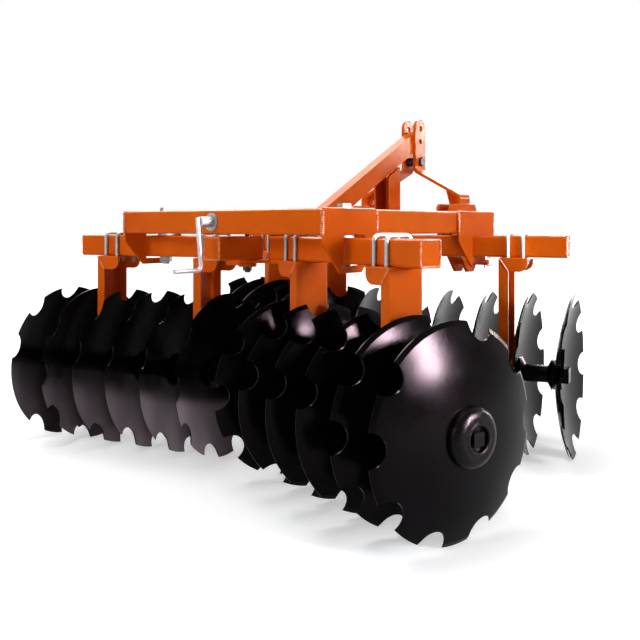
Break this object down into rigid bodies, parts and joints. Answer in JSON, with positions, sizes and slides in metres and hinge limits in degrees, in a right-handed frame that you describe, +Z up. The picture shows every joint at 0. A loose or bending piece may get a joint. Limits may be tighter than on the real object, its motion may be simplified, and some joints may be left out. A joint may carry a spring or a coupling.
{
  "type": "tandem disc harrow",
  "caption": "Lift-type tandem disc harrow: square-tube frame with mast and hitch pins, carrying front and rear gangs of notched dished discs on spooled axles.",
  "frame": {"origin": "on the floor under the middle of the machine, half way between its foremost and rearmost discs and sides", "axes": "+Y is the way the machine is drawn, towards the hitch; +X is its right; +Z is up"},
  "size_m": [1.9152, 1.4431, 1.2405],
  "materials": {
    "orange": "gloss orange enamel",
    "disc_black": "gloss black enamel",
    "casting_black": "black painted casting",
    "zinc": "bright zinc plate",
    "dark_steel": "dark oiled steel",
    "bright_steel": "bright plated rod"
  },
  "bodies": {
    "frame": {"rear_beam": "orange", "front_beam": "orange", "centre_beam": "orange", "centre_pad": "orange", "pivot_pins": "zinc", "lead_screw": "zinc", "crank": "bright_steel", "mast_spacer": "dark_steel", "mast_brace": "orange", "mast_post": "orange", "hitch_pins": "orange", "front_u_bolts": "zinc", "front_bearings": "casting_black", "side_rail_left": "orange", "front_gang_tube_left": "orange", "mast_bar_left": "orange", "hitch_plates_left": "orange", "corner_plate_rear_left": "orange", "corner_plate_front_left": "orange", "front_shanks_left": "orange", "side_rail_right": "orange", "front_gang_tube_right": "orange", "mast_bar_right": "orange", "hitch_plates_right": "orange", "corner_plate_rear_right": "orange", "corner_plate_front_right": "orange", "front_shanks_right": "orange"},
    "rear_gang_left": {"rear_gang_tube_left": "orange", "rear_shanks_left": "orange", "rear_u_bolts_left": "zinc", "rear_bearings_left": "casting_black"},
    "rear_disc_gang_left": {"rear_discs_left": "disc_black", "rear_axle_left": "casting_black"},
    "front_disc_gang_left": {"front_discs_left": "disc_black", "front_axle_left": "casting_black"},
    "rear_gang_right": {"rear_gang_tube_right": "orange", "rear_shanks_right": "orange", "rear_u_bolts_right": "zinc", "rear_bearings_right": "casting_black"},
    "rear_disc_gang_right": {"rear_discs_right": "disc_black", "rear_axle_right": "casting_black"},
    "front_disc_gang_right": {"front_discs_right": "disc_black", "front_axle_right": "casting_black"},
    "slider": {"slider_tube": "orange", "slider_pin": "dark_steel"}
  },
  "joints": [
    {"name": "rear_gang_swing_right", "type": "hinge", "parent": "frame", "child": "rear_gang_right", "pos_m": [0.4189, -0.337, 0.722], "axis": [0, 0, 1], "range_deg": [-3.5, 5]},
    {"name": "rear_gang_swing_left", "type": "hinge", "parent": "frame", "child": "rear_gang_left", "pos_m": [-0.4189, -0.337, 0.722], "axis": [0, 0, 1], "range_deg": [-5, 3.5]},
    {"name": "slider_travel", "type": "slide", "parent": "frame", "child": "slider", "axis": [0, 1, 0], "range_m": [-0.037, 0.026]},
    {"name": "rear_discs_turn_left", "type": "hinge", "parent": "rear_gang_left", "child": "rear_disc_gang_left", "pos_m": [-0.92085, -0.46109, 0.2794], "axis": [-0.9744, -0.225, 0], "continuous": true},
    {"name": "front_discs_turn_left", "type": "hinge", "parent": "frame", "child": "front_disc_gang_left", "pos_m": [-0.73694, 0.43815, 0.2794], "axis": [-0.9588, 0.284, 0], "continuous": true},
    {"name": "rear_discs_turn_right", "type": "hinge", "parent": "rear_gang_right", "child": "rear_disc_gang_right", "pos_m": [0.92085, -0.46109, 0.2794], "axis": [0.9744, -0.225, 0], "continuous": true},
    {"name": "front_discs_turn_right", "type": "hinge", "parent": "frame", "child": "front_disc_gang_right", "pos_m": [0.73694, 0.43815, 0.2794], "axis": [0.9588, 0.284, 0], "continuous": true}
  ],
  "couplings": [
    {"joint": "rear_gang_swing_left", "follows": "rear_gang_swing_right", "ratio": -1},
    {"joint": "slider_travel", "follows": "rear_gang_swing_right", "m_per_rad": -0.4189}
  ]
}
